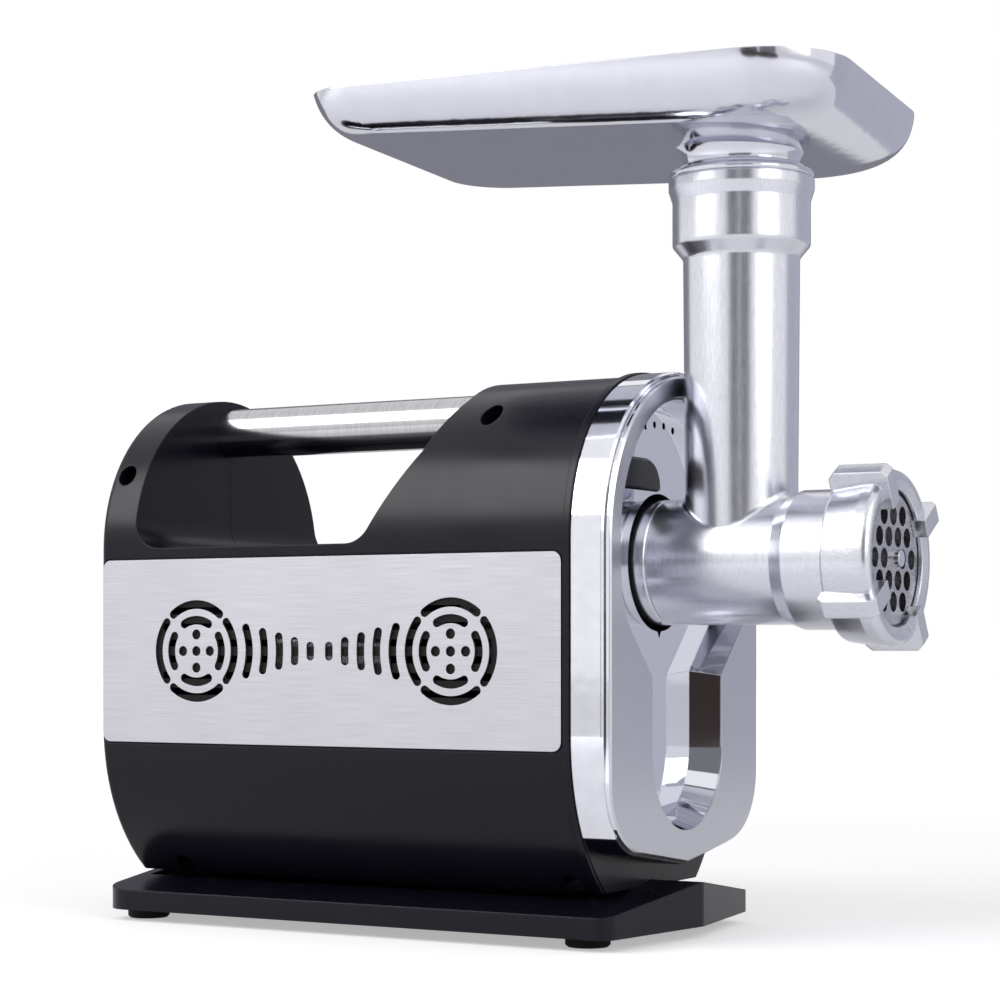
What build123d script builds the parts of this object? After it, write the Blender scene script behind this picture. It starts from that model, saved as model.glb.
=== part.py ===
"""Electric meat grinder with a carrying handle, a lift-off tray and a plug-in mincing head."""
import os
from math import asin, atan, atan2, cos, degrees, hypot, pi, radians, sin, sqrt, tan

from build123d import *

os.makedirs("parts", exist_ok=True)

# All sizes are in millimetres. X runs forward to the mincing head, Y across, Z up.
# The origin is the middle of the four feet, on the worktop.

# ---- Housing ----
side_half = 71.0            # middle plane to the flat side
arch_z = 164.5              # where the sides turn into the round top
tuck_z = 86.0               # where the sides start to curve in below
waist_half = 41.5           # narrowest half-width, above the plinth
waist_z = 21.0
body_back = -121.0
body_front = 117.0
wall = 2.6
back_edge_round = 3.0
lip_height = 1.6            # raised lip that borders the bezel
lip_width = 3.0

# ---- Plinth and feet ----
plinth_half = 68.0
plinth_back = -124.0
prow_corner_x = 131.0
prow_tip_x = 141.0
plinth_bottom_z = 5.0
plinth_edge_z = 14.0
plinth_ridge_z = 23.6
plinth_corner_round = 14.0
foot_radius = 9.3
foot_x = 112.0
foot_y = 48.0
foot_stem_radius = 3.2
foot_stem_grip = 4.0         # how far a foot's stem reaches above the cover
foot_boss_radius = 6.0
cover_thickness = 2.6
cover_gap = 0.3

# ---- Carrying handle ----
grip_back = -102.0
grip_floor_z = 165.0
grip_front_low = 16.0
grip_front_knee = (40.0, 203.0)
grip_front_top = (48.5, 226.0)
grip_round = 13.0
tube_radius = 11.3
tube_wall = 1.3
tube_drop = 15.0            # from the top of the arch down to the tube's axis
tube_z = arch_z + side_half - tube_drop
tube_seat = 9.0             # how far the tube reaches past each wall of the grip
tube_fit = 0.05

# ---- Rear panel, with the switch and the cord's way in ----
panel_center = (0.0, 93.0)
panel_size = (50.0, 98.0)
panel_lip = 4.0             # how far the panel reaches behind the edge of its window
panel_thickness = 2.2
panel_rib = 2.0             # rib of each half that closes the groove round the panel
switch_drop = 24.0          # from the panel's upper end to the switch
gland_rise = 18.0           # from its lower end to the cord's gland
switch_z = panel_center[1] + panel_size[1] / 2 - switch_drop
gland_z = panel_center[1] - panel_size[1] / 2 + gland_rise

# ---- Side plates and their vents ----
plate_center = (-3.5, 119.8)
plate_length = 231.5
plate_height = 80.0
plate_thickness = 1.2
plate_recess = 0.8
plate_round = 4.0
plate_gap = 0.7
vent_spacing = 128.8        # between the two round grilles
vent_slot = 3.8
vent_dot = 4.4
vent_dot_ring = 7.2
vent_ring_radii = (13.4, 20.2)
vent_ring_sweeps = (58.0, 76.0)
vent_step = 7.9             # from one fan slot to the next
vent_fan_heights = (24.0, 20.0, 16.0, 12.0, 8.0)
screen_thickness = 1.5
screen_size = (178.0, 56.0)
louvre_pitch = 7.0
louvre_gap = 3.0

# ---- Front: bezel, frame and plate ----
bezel_proud = 1.0
bezel_wall = 2.0
bezel_depth = 14.3
bezel_end_z = 45.0
face_margin = 1.0           # how much narrower than the sides the front plate is, each side
face_half = side_half - face_margin
face_x = 134.0              # its front surface
face_flange = 2.6
face_tip_z = 31.5
face_corner_z = 42.0
face_corner_round = 30.0
dial_rim = 8.5              # flat band round the dial
dial_radius = face_half - dial_rim
dial_depth = 13.5
dial_wall = 2.2
dial_draft = 4.9            # how far the recess narrows on the way to its floor
slot_half = 33.5
slot_bottom_z = 45.0
slot_neck_rise = 13.8       # from the dial's lowest point to where the slot opens into it at 45 degrees
index_hole_radius = 1.5
index_hole_ring = 58.0
index_hole_step = 8.6

# ---- Mincing head ----
head_z = 157.0
slot_neck_z = head_z - dial_radius + slot_neck_rise
spigot_radius = 26.3        # the part of the barrel that plugs into the machine
spigot_fit = 0.08
spigot_back = 100.0
barrel_radius = 26.3
barrel_bore = 22.5
barrel_front = 221.0
mouth_radius = 28.5         # thick front end under the ring nut
mouth_start = 188.0
mouth_bore = 26.6
mouth_depth = 8.5
barrel_back_wall = 6.0
barrel_groove_x = 126.5
barrel_groove = 0.6
throat_x = 158.4
throat_radius_low = 23.1
throat_radius_high = 24.1
throat_bore = 20.6
throat_top_z = 314.5
throat_collar_radius = 28.5
throat_collar_low = 281.7
throat_shoulder = 5.3
throat_round = 2.5
throat_saddle = 3.0         # fillet between the throat and the barrel
throat_rim_radius = 30.1
throat_rim_height = 9.5
throat_rim_slope = 5.0
throat_seat_depth = 13.0
throat_seat_radius = 22.4

# ---- Auger, knife and plates ----
auger_back = 121.0
auger_clearance = 0.7
auger_core_back = 9.0
auger_core_front = 13.0
auger_pitch = 29.0
auger_flight = 4.0
shaft_radius = 8.0
running = 0.05
dog_flats = 13.0            # across the flats of the drive hexagon
dog_clearance = 0.25
knife_thickness = 5.6
knife_radius = 24.5
knife_square = 9.0
knife_fit = 0.1
disc_radius = 26.5
disc_thickness = 6.0
disc_hole = 4.0
disc_pitch = 10.0
pin_radius = 3.3
pin_proud = 3.5

# ---- Ring nut ----
nut_back = 206.5
nut_radius = 33.3
nut_flange_radius = 35.5
nut_flange_back = 221.0
nut_front = 229.2
nut_round = 3.2
nut_dish = 2.4              # how far the face slopes in from its rim to its opening
nut_opening = 27.5
nut_fit = 0.08
lug_radius = 41.0
lug_width = 7.6
lug_bevel = 2.5
lug_count = 4
lug_turn = 31.0             # degrees from +Y to the first lug
lug_front = 231.3
lug_tab_radius = 24.3

# ---- Tray ----
tray_turn = 7.0
tray_back = -163.0          # measured from the throat along the tray
tray_front = 59.5
tray_width = 171.0
tray_back_round = 22.0
tray_front_round = 36.0     # the corners by the throat are rounder
tray_rim_z = 348.5
tray_wall = 2.2
tray_belly = 0.45           # where the wall starts to turn in, as a share of its height
tray_belly_inset = 3.0
dish_back = -152.0
dish_front = 25.0
dish_width = 134.0
dish_back_round = 24.0
dish_front_round = 30.0
dish_back_z = 333.0
dish_front_z = 325.0
tray_spigot_fit = 0.3
tray_neck_radius = 24.3
tray_flare_radius = 33.0    # where the neck's flare meets the dish

# ---- Gear train ----
motor_center = (0.0, 97.0)
output_center = (0.0, head_z)
pressure_angle = 25.0
tooth_addendum = 0.85       # in modules
tooth_dedendum = 1.1
tooth_backlash = 0.12
mesh_clearance = 0.05       # added to each centre distance
first_module, first_teeth = 1.25, (9, 45)
second_module, second_teeth = 1.75, (10, 36)
third_module, third_teeth = 2.25, (10, 32)
wheel_room = 3.0            # from a wheel's pitch circle to the case
case_gap = 1.9              # from the case to the housing's side
first_stage = (52.0, 62.0)
second_stage = (64.5, 76.0)
third_stage = (79.0, 94.0)
arbor_radius = 5.0
case_wall = 4.0
case_back = 46.0
case_split = 72.0
case_front = 100.0
second_center_y = side_half - wall - case_gap - case_wall - wheel_room - second_module * second_teeth[1] / 2

# ---- Motor ----
stator_back, stator_front = -50.0, 10.0
stator_width, stator_height = 78.0, 72.0
rotor_radius = 23.5
rotor_gap = 0.6
motor_shaft_radius = 4.0
fan_x = -96.0
fan_width = 11.0
fan_radius = 33.0
bracket_back = -80.0
bracket_thickness = 4.0
bracket_vent = (36.0, 9.0)
bracket_vent_inset = 12.0   # from the bracket's edge to the middle of a vent
motor_corner_round = 10.0
bolt_radius = 2.5
bolt_inset = 7.0
brush_holder = (18.0, 9.0)
brush_y = 22.0
brush_plate_gap = 2.0       # from the commutator to the brush plate
brush_plate_thickness = 3.0
commutator_radius = 12.0
commutator_length = 13.0


def distance(a, b):
    return hypot(a[0] - b[0], a[1] - b[1])


# ---------------------------------------------------------------- outlines

def body_section(x, inset):
    """Cross-section of the housing, offset inwards by inset."""
    half = side_half - inset
    drop = tuck_z - waist_z
    tuck_radius = ((side_half - waist_half) ** 2 + drop ** 2) / (2 * (side_half - waist_half))
    radius = tuck_radius - inset
    turn = degrees(asin(drop / radius))
    center_y = side_half - tuck_radius
    foot_y_in = center_y + sqrt(radius ** 2 - drop ** 2)
    with BuildSketch(Plane.YZ.offset(x)) as section:
        with BuildLine():
            CenterArc((0, arch_z), half, 0, 180)
            Line((-half, arch_z), (-half, tuck_z))
            CenterArc((-center_y, tuck_z), radius, 180, turn)
            Line((-foot_y_in, waist_z), (foot_y_in, waist_z))
            CenterArc((center_y, tuck_z), radius, -turn, turn)
            Line((half, tuck_z), (half, arch_z))
        make_face()
    return section.sketch


def plinth_block(inset, bottom):
    """Plinth with a prow in plan and a low roof that rises to the middle."""
    with BuildPart() as block:
        with BuildSketch(Plane.XY.offset(bottom)) as plan:
            with BuildLine():
                Polyline((plinth_back, -plinth_half), (prow_corner_x, -plinth_half), (prow_tip_x, 0),
                         (prow_corner_x, plinth_half), (plinth_back, plinth_half), close=True)
            make_face()
            fillet(plan.vertices().filter_by_position(Axis.X, prow_tip_x - 1, prow_tip_x + 1,
                                                      inclusive=(True, True)), 6)
            fillet(plan.vertices().group_by(Axis.X)[0], plinth_corner_round)
            fillet(plan.vertices().filter_by_position(Axis.X, prow_corner_x - 0.1, prow_corner_x + 0.1),
                   plinth_corner_round / 2)
            if inset:
                offset(amount=-inset, kind=Kind.INTERSECTION)
        extrude(amount=plinth_ridge_z)
        roof = plinth_edge_z - inset
        ridge = plinth_ridge_z - inset
        with BuildSketch(Plane.YZ.offset(plinth_back)):
            with BuildLine():
                Polyline((-plinth_half, bottom), (plinth_half, bottom), (plinth_half, roof),
                         (0, ridge), (-plinth_half, roof), close=True)
            make_face()
        extrude(amount=prow_tip_x - plinth_back, mode=Mode.INTERSECT)
    return block.part


def grip_outline(grow):
    """Side view of the hand opening, open at the top."""
    top = arch_z + side_half + 10
    with BuildSketch(Plane.XZ) as opening:
        with BuildLine():
            Polyline((grip_back, grip_floor_z), (grip_front_low, grip_floor_z), grip_front_knee,
                     grip_front_top, (grip_front_top[0], top), (grip_back, top), close=True)
        make_face()
        fillet(opening.vertices().group_by(Axis.Y)[0], grip_round)
        if grow:
            offset(amount=grow)
    return opening.sketch


def face_outline(x, grow):
    """Outline of the front plate: an arch above, a shallow V below."""
    with BuildSketch(Plane.YZ.offset(x)) as face:
        with BuildLine():
            CenterArc((0, arch_z), face_half, 0, 180)
            Polyline((-face_half, arch_z), (-face_half, face_corner_z), (0, face_tip_z),
                     (face_half, face_corner_z), (face_half, arch_z))
        make_face()
        fillet(face.vertices().filter_by_position(Axis.Y, face_corner_z - 0.1, face_corner_z + 0.1),
               face_corner_round)
        if grow:
            offset(amount=grow, kind=Kind.INTERSECTION)
    return face.sketch


def keyhole_outline(x, grow):
    """Outline of the recess in the front plate: a dial above, a round-ended slot below."""
    radius = dial_radius + grow
    half = slot_half + grow
    end_z = slot_bottom_z + slot_half
    # The 45-degree neck, moved out by grow, from the slot's side up to the dial's circle.
    neck_z = slot_neck_z - grow * (sqrt(2) - 1)
    lead = head_z - neck_z + half
    drop = (lead - sqrt(2 * radius ** 2 - lead ** 2)) / 2
    shoulder = (lead - drop, head_z - drop)
    turn = degrees(asin(drop / radius))
    with BuildSketch(Plane.YZ.offset(x)) as keyhole:
        with BuildLine():
            CenterArc((0, arch_z), radius, 0, 180)
            Line((-radius, arch_z), (-radius, head_z))
            CenterArc((0, head_z), radius, 180, turn)
            Polyline((-shoulder[0], shoulder[1]), (-half, neck_z), (-half, end_z))
            CenterArc((0, end_z), half, 180, 180)
            Polyline((half, end_z), (half, neck_z), shoulder)
            CenterArc((0, head_z), radius, -turn, turn)
            Line((radius, head_z), (radius, arch_z))
        make_face()
    return keyhole.sketch


def keyhole_block(back, front, grow):
    """The recess as a block between two depths, drafted towards the floor and grown by grow."""
    with BuildPart() as block:
        for x in (back, front):
            draft = dial_draft * min(1, (face_x - x) / dial_depth)
            add(keyhole_outline(x, grow - draft))
        loft(ruled=True)
    return block.part


def gear_outline(plane, module, teeth, phase):
    """Gear with involute flanks; phase is the angle of one tooth's middle."""
    pitch_radius = module * teeth / 2
    base = pitch_radius * cos(radians(pressure_angle))
    tip = pitch_radius + tooth_addendum * module
    root = pitch_radius - tooth_dedendum * module

    def half_angle(radius):
        """Half the tooth's angle at a radius; the flank is radial inside the base circle."""
        roll = sqrt(max(radius / base, 1) ** 2 - 1)
        pitch_roll = tan(radians(pressure_angle))
        return (pi / 2 / teeth - tooth_backlash / 2 / pitch_radius
                + pitch_roll - radians(pressure_angle) - roll + atan(roll))

    low = max(root, base)
    radii = [root] * (root < base) + [low, (low + pitch_radius) / 2, (pitch_radius + tip) / 2, tip]
    points = []
    for tooth in range(teeth):
        middle = radians(phase) + tooth * 2 * pi / teeth
        flank = [(radius, half_angle(radius)) for radius in radii]
        for radius, angle in [(radius, -angle) for radius, angle in flank] + flank[::-1]:
            points.append((radius * cos(middle + angle), radius * sin(middle + angle)))
    with BuildSketch(plane) as gear:
        with BuildLine():
            Polyline(*points, close=True)
        make_face()
    return gear.sketch


def bearing_between(a, b):
    """Direction from a to b in the Y-Z plane, in degrees."""
    return degrees(atan2(b[1] - a[1], b[0] - a[0]))


def cross_plane(x, center):
    """Plane across X through a point (y, z)."""
    return Plane(origin=(x, center[0], center[1]), x_dir=(0, 1, 0), z_dir=(1, 0, 0))


# ---------------------------------------------------------------- housing

pocket_radius = 4.5
boss_radius = 6.2
pocket_floor_y = 24.0       # distance of the screw heads' seats from the middle
screw_radius = 1.9
screw_head_radius = 3.8
screw_head_height = 2.4
screw_reach = 10.0          # how far a screw goes into the other half
pocket_places = [(-112.5, 198.0), (66.0, 218.0), (-93.0, 24.0), (104.0, 24.0)]

body_length = body_front - body_back
plinth_inner_bottom = plinth_bottom_z + cover_thickness

with BuildPart() as body_core:
    extrude(body_section(body_back, 0), amount=body_length)
    fillet(body_core.faces().sort_by(Axis.X)[0].edges(), back_edge_round)

with BuildPart() as cavity:
    extrude(body_section(body_back + wall, wall), amount=body_length - 2 * wall)
    extrude(grip_outline(wall), amount=2 * side_half, both=True, mode=Mode.SUBTRACT)
    add(plinth_block(wall, plinth_bottom_z - 1))
    with BuildSketch(Plane.XY.offset(plinth_bottom_z)):
        with Locations(((body_back + body_front) / 2, 0)):
            Rectangle(body_length - 2 * wall, 2 * (waist_half - wall))
    extrude(amount=waist_z - plinth_bottom_z + 1)

with BuildPart() as bosses:
    for x, z in pocket_places:
        with BuildSketch(Plane.XZ.offset(-side_half)):
            with Locations((x, z)):
                Circle(boss_radius)
        extrude(amount=2 * side_half)
    add(body_core.part, mode=Mode.INTERSECT)

foot_places = [(x, y) for x in (-foot_x, foot_x) for y in (-foot_y, foot_y)]

with BuildPart() as foot_bosses:
    with BuildSketch(Plane.XY.offset(plinth_inner_bottom)):
        with Locations(*foot_places):
            Circle(foot_boss_radius)
    extrude(amount=plinth_ridge_z)
    add(plinth_block(0, plinth_bottom_z), mode=Mode.INTERSECT)
    with BuildSketch(Plane.XY.offset(plinth_inner_bottom)):
        with Locations(*foot_places):
            Circle(foot_stem_radius + running)
    extrude(amount=foot_stem_grip + 0.5, mode=Mode.SUBTRACT)

tube_back = grip_back - wall - tube_seat
tube_front = grip_front_top[0] + wall + tube_seat - 3


def panel_block(back, depth, grow):
    """Block with the outline of the rear panel's window, moved out by grow."""
    with BuildPart() as block:
        with BuildSketch(Plane.YZ.offset(back)):
            with Locations(panel_center):
                Rectangle(panel_size[0] + 2 * grow, panel_size[1] + 2 * grow)
        extrude(amount=depth)
    return block.part


groove_back = body_back + wall
groove_depth = panel_thickness + cover_gap

with BuildPart() as housing:
    add(body_core.part)
    add(plinth_block(0, plinth_bottom_z))
    # Raised lip round the front edge.
    extrude(body_section(body_front - lip_width - 0.4, -lip_height), amount=lip_width)
    add(cavity.part, mode=Mode.SUBTRACT)
    add(bosses.part)
    add(foot_bosses.part)
    # Window for the rear panel, with a groove round it that both halves close on.
    add(panel_block(body_back + wall / 2, wall / 2 + groove_depth + panel_rib, panel_lip + panel_rib))
    add(panel_block(groove_back, groove_depth, panel_lip + cover_gap), mode=Mode.SUBTRACT)
    add(panel_block(body_back - 1, wall + groove_depth + panel_rib + 2, 0), mode=Mode.SUBTRACT)
    extrude(grip_outline(0), amount=2 * side_half, both=True, mode=Mode.SUBTRACT)
    # Seats of the handle tube in the walls of the grip.
    with BuildSketch(Plane.YZ.offset(tube_back)):
        with Locations((0, tube_z)):
            Circle(tube_radius + tube_fit)
    extrude(amount=tube_front - tube_back, mode=Mode.SUBTRACT)
    # Window behind the front plate.
    extrude(keyhole_outline(body_front - wall - 1, dial_wall + 0.4), amount=wall + 2, mode=Mode.SUBTRACT)
    for side in (-1, 1):
        # Recess for the steel side plate, and the opening behind its vents.
        with BuildSketch(Plane.XZ.offset(side * side_half)):
            with Locations(plate_center):
                RectangleRounded(plate_length + 2 * plate_gap, plate_height + 2 * plate_gap,
                                 plate_round + plate_gap)
        extrude(amount=-side * plate_recess, mode=Mode.SUBTRACT)
        with BuildSketch(Plane.XZ.offset(side * side_half)):
            with Locations(plate_center):
                Rectangle(*screen_size)
        extrude(amount=-side * (wall + 1), mode=Mode.SUBTRACT)
    # Screw pockets on the right side and pilot holes through the bosses.
    for x, z in pocket_places:
        with BuildSketch(Plane.XZ.offset(side_half + lip_height)):
            with Locations((x, z)):
                Circle(pocket_radius)
        extrude(amount=-(side_half + lip_height - pocket_floor_y), mode=Mode.SUBTRACT)
        with BuildSketch(Plane.XZ.offset(pocket_floor_y)):
            with Locations((x, z)):
                Circle(screw_radius + running)
        extrude(amount=-(pocket_floor_y + screw_reach + 1), mode=Mode.SUBTRACT)

with BuildPart() as housing_right:
    add(housing.part)
    split(bisect_by=Plane.XZ, keep=Keep.TOP)
housing_right.part.label = "housing_right"
export_step(housing_right.part, "parts/housing_right.step")

with BuildPart() as housing_left:
    add(housing.part)
    split(bisect_by=Plane.XZ, keep=Keep.BOTTOM)
housing_left.part.label = "housing_left"
export_step(housing_left.part, "parts/housing_left.step")

# ---------------------------------------------------------------- rear panel, switch and cord gland

switch_center = (panel_center[0], switch_z)
switch_size = (22.0, 30.0)
switch_depth = 16.0
switch_flange = 2.0
rocker_size = (15.6, 23.0)
rocker_clearance = 0.35
gland_center = (panel_center[0], gland_z)
gland_radius = 6.5
gland_flange_radius = 9.5
gland_flange = 3.0
gland_reach = 3.8           # past the panel, inside
cord_bore = 3.6

with BuildPart() as rear_panel:
    add(panel_block(body_back, wall + panel_thickness, -cover_gap))
    add(panel_block(groove_back, panel_thickness, panel_lip))
    with BuildSketch(Plane.YZ.offset(body_back - 1)):
        with Locations(switch_center):
            Rectangle(switch_size[0] + 2 * cover_gap, switch_size[1] + 2 * cover_gap)
        with Locations(gland_center):
            Circle(gland_radius + tube_fit)
    extrude(amount=wall + panel_thickness + 2, mode=Mode.SUBTRACT)
rear_panel.part.label = "rear_panel"
export_step(rear_panel.part, "parts/rear_panel.step")

with BuildPart() as switch_frame:
    with BuildSketch(Plane.YZ.offset(body_back - switch_flange)):
        with Locations(switch_center):
            RectangleRounded(switch_size[0] + 5, switch_size[1] + 5, 2)
    extrude(amount=switch_flange)
    with BuildSketch(Plane.YZ.offset(body_back)):
        with Locations(switch_center):
            Rectangle(*switch_size)
    extrude(amount=switch_depth)
    with BuildSketch(Plane.YZ.offset(body_back - switch_flange)):
        with Locations(switch_center):
            Rectangle(rocker_size[0] + 2 * rocker_clearance, rocker_size[1] + 2 * rocker_clearance)
    extrude(amount=switch_depth, mode=Mode.SUBTRACT)
switch_frame.part.label = "switch_frame"
export_step(switch_frame.part, "parts/switch_frame.step")

# The rocker is a drum segment that turns about a pivot inside the frame.
rocker_pivot = (body_back + 5.0, switch_center[1])
with BuildPart() as switch_rocker:
    with BuildSketch(Plane.XZ.offset(-switch_center[0])):
        with BuildLine():
            top = rocker_size[1] / 2 - 1.6
            Polyline((rocker_pivot[0] + 4, rocker_pivot[1] - 4), (rocker_pivot[0] + 4, rocker_pivot[1] + 4),
                     (body_back - 1.0, rocker_pivot[1] + top), (body_back - 3.6, rocker_pivot[1] + top - 0.8),
                     (body_back - 2.2, rocker_pivot[1]),
                     (body_back - 3.6, rocker_pivot[1] - top + 0.8), (body_back - 1.0, rocker_pivot[1] - top),
                     close=True)
        make_face()
    extrude(amount=rocker_size[0] / 2, both=True)
switch_rocker.part.label = "switch_rocker"
export_step(switch_rocker.part, "parts/switch_rocker.step")

with BuildPart() as cord_gland:
    with BuildSketch(Plane.YZ.offset(body_back - gland_flange)):
        with Locations(gland_center):
            Circle(gland_flange_radius)
    extrude(amount=gland_flange)
    with BuildSketch(Plane.YZ.offset(body_back)):
        with Locations(gland_center):
            Circle(gland_radius)
    extrude(amount=wall + panel_thickness + gland_reach)
    with BuildSketch(Plane.YZ.offset(body_back - gland_flange)):
        with Locations(gland_center):
            Circle(cord_bore)
    extrude(amount=gland_flange + wall + panel_thickness + gland_reach, mode=Mode.SUBTRACT)
cord_gland.part.label = "cord_gland"
export_step(cord_gland.part, "parts/cord_gland.step")

# ---------------------------------------------------------------- screws, cover and feet

with BuildPart() as housing_screws:
    for x, z in pocket_places:
        with BuildSketch(Plane.XZ.offset(pocket_floor_y)):
            with Locations((x, z)):
                Circle(screw_head_radius)
        extrude(amount=screw_head_height)
        with BuildSketch(Plane.XZ.offset(pocket_floor_y)):
            with Locations((x, z)):
                Circle(screw_radius)
        extrude(amount=-(pocket_floor_y + screw_reach))
        with BuildSketch(Plane.XZ.offset(pocket_floor_y + screw_head_height)):
            with Locations((x, z)):
                Rectangle(0.9, 4.2)
                Rectangle(4.2, 0.9)
        extrude(amount=-1.4, mode=Mode.SUBTRACT)
housing_screws.part.label = "housing_screws"
export_step(housing_screws.part, "parts/housing_screws.step")

with BuildPart() as bottom_cover:
    add(plinth_block(wall + cover_gap, plinth_bottom_z))
    with BuildSketch(Plane.XY.offset(plinth_bottom_z + cover_thickness)):
        Rectangle(3 * side_half + body_length, 3 * side_half)
    extrude(amount=plinth_ridge_z, mode=Mode.SUBTRACT)
    with Locations(*[(x, y, plinth_inner_bottom) for x, y in foot_places]):
        Hole(foot_stem_radius + running)
bottom_cover.part.label = "bottom_cover"
export_step(bottom_cover.part, "parts/bottom_cover.step")

for end, x in (("rear", -foot_x), ("front", foot_x)):
    for side, y in (("right", -foot_y), ("left", foot_y)):
        with BuildPart() as foot:
            with BuildSketch(Plane.XY):
                with Locations((x, y)):
                    Circle(foot_radius)
            extrude(amount=plinth_bottom_z)
            chamfer(foot.edges().sort_by(Axis.Z)[0], 1)
            with BuildSketch(Plane.XY.offset(plinth_bottom_z)):
                with Locations((x, y)):
                    Circle(foot_stem_radius)
            extrude(amount=cover_thickness + foot_stem_grip)
        foot.part.label = f"foot_{end}_{side}"
        export_step(foot.part, f"parts/foot_{end}_{side}.step")

# ---------------------------------------------------------------- handle tube

with BuildPart() as handle_tube:
    with BuildSketch(Plane.YZ.offset(tube_back)):
        with Locations((0, tube_z)):
            Circle(tube_radius)
            Circle(tube_radius - tube_wall, mode=Mode.SUBTRACT)
    extrude(amount=tube_front - tube_back)
handle_tube.part.label = "handle_tube"
export_step(handle_tube.part, "parts/handle_tube.step")

for end, x, direction in (("rear", tube_back, 1), ("front", tube_front, -1)):
    with BuildPart() as plug:
        with BuildSketch(Plane.YZ.offset(x)):
            with Locations((0, tube_z)):
                Circle(tube_radius - tube_wall - tube_fit)
        extrude(amount=direction * 12)
        with BuildSketch(Plane.YZ.offset(x)):
            with Locations((0, tube_z)):
                Circle(tube_radius)
        extrude(amount=-direction * 2)
    plug.part.label = f"handle_plug_{end}"
    export_step(plug.part, f"parts/handle_plug_{end}.step")

# ---------------------------------------------------------------- side plates and vent screens


def vent_pattern():
    """Two round grilles joined by fans of shrinking arc slots, drawn about the plate's middle."""
    with BuildSketch() as pattern:
        for side in (-1, 1):
            center = (side * vent_spacing / 2, 0)
            with Locations(center):
                Circle(vent_dot / 2)
                with PolarLocations(vent_dot_ring, 4):
                    Circle(vent_dot / 2)
            # Each slot is (radius, direction of its middle, sweep).
            slots = [(radius, 90 * quarter, sweep) for radius, sweep in zip(vent_ring_radii, vent_ring_sweeps)
                     for quarter in range(4)]
            for count, height in enumerate(vent_fan_heights, start=1):
                radius = vent_ring_radii[1] + count * vent_step
                slots.append((radius, 90 + side * 90, degrees((height - vent_slot) / radius)))
            for radius, middle, sweep in slots:
                arc = CenterArc(center, radius, middle - sweep / 2, sweep, mode=Mode.PRIVATE)
                SlotArc(arc, vent_slot)
    return pattern.sketch


vents = vent_pattern()
with BuildPart() as plate_right:
    with BuildSketch(Plane.XZ.offset(side_half - plate_recess).shift_origin(
            (plate_center[0], -(side_half - plate_recess), plate_center[1]))):
        RectangleRounded(plate_length, plate_height, plate_round)
        add(vents, mode=Mode.SUBTRACT)
    extrude(amount=plate_thickness)
plate_right.part.label = "side_plate_right"
export_step(plate_right.part, "parts/side_plate_right.step")

with BuildPart() as plate_left:
    mirror(plate_right.part, about=Plane.XZ)
plate_left.part.label = "side_plate_left"
export_step(plate_left.part, "parts/side_plate_left.step")

# A louvred screen fills the opening behind each plate and keeps fingers out.
screen_fit = 0.2
with BuildPart() as screen_right:
    with BuildSketch(Plane.XZ.offset(side_half - plate_recess - screen_thickness)):
        with Locations(plate_center):
            Rectangle(screen_size[0] - 2 * screen_fit, screen_size[1] - 2 * screen_fit)
            louvres = int((screen_size[1] - 8) / louvre_pitch)
            with GridLocations(0, louvre_pitch, 1, louvres):
                Rectangle(screen_size[0] - 12, louvre_gap, mode=Mode.SUBTRACT)
    extrude(amount=screen_thickness)
screen_right.part.label = "vent_screen_right"
export_step(screen_right.part, "parts/vent_screen_right.step")

with BuildPart() as screen_left:
    mirror(screen_right.part, about=Plane.XZ)
screen_left.part.label = "vent_screen_left"
export_step(screen_left.part, "parts/vent_screen_left.step")

# ---------------------------------------------------------------- bezel, front frame and front plate

with BuildPart() as bezel:
    extrude(body_section(body_front, -bezel_proud), amount=bezel_depth)
    chamfer(bezel.faces().sort_by(Axis.X)[-1].edges(), 0.8)
    extrude(body_section(body_front - 1, bezel_wall - bezel_proud), amount=bezel_depth + 2,
            mode=Mode.SUBTRACT)
    with BuildSketch(Plane.XY.offset(bezel_end_z)):
        with Locations((body_front, 0)):
            Rectangle(4 * bezel_depth, 3 * side_half)
    extrude(amount=-bezel_end_z, mode=Mode.SUBTRACT)
bezel.part.label = "bezel"
export_step(bezel.part, "parts/bezel.step")

# The frame carries the bezel outside and the front plate in front.
frame_gap = 0.1
frame_depth = face_x - face_flange - body_front
with BuildPart() as frame_sill:
    extrude(body_section(body_front, -bezel_proud / 2), amount=frame_depth)
    with BuildSketch(Plane.XY.offset(bezel_end_z - frame_gap)):
        with Locations((body_front, 0)):
            Rectangle(4 * bezel_depth, 3 * side_half)
    extrude(amount=arch_z + side_half, mode=Mode.SUBTRACT)

with BuildPart() as front_frame:
    extrude(body_section(body_front, bezel_wall - bezel_proud + frame_gap), amount=frame_depth)
    add(frame_sill.part)
    extrude(face_outline(body_front, bezel_proud), amount=frame_depth, mode=Mode.INTERSECT)
    extrude(keyhole_outline(body_front - 1, dial_wall + 0.4), amount=frame_depth + 2,
            mode=Mode.SUBTRACT)
front_frame.part.label = "front_frame"
export_step(front_frame.part, "parts/front_frame.step")

floor_x = face_x - dial_depth
ring_gap_radius = 29.0
button_center = (-22.5, 193.5)
button_size = (42.0, 12.5)
button_round = 11.5
button_fit = 0.4


def button_outline(x, grow):
    with BuildSketch(Plane.YZ.offset(x)) as outline:
        with Locations(button_center):
            Rectangle(button_size[0] + 2 * grow, button_size[1] + 2 * grow)
        fillet(outline.vertices().group_by(Axis.Y)[-1], button_round)
    return outline.sketch


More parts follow.
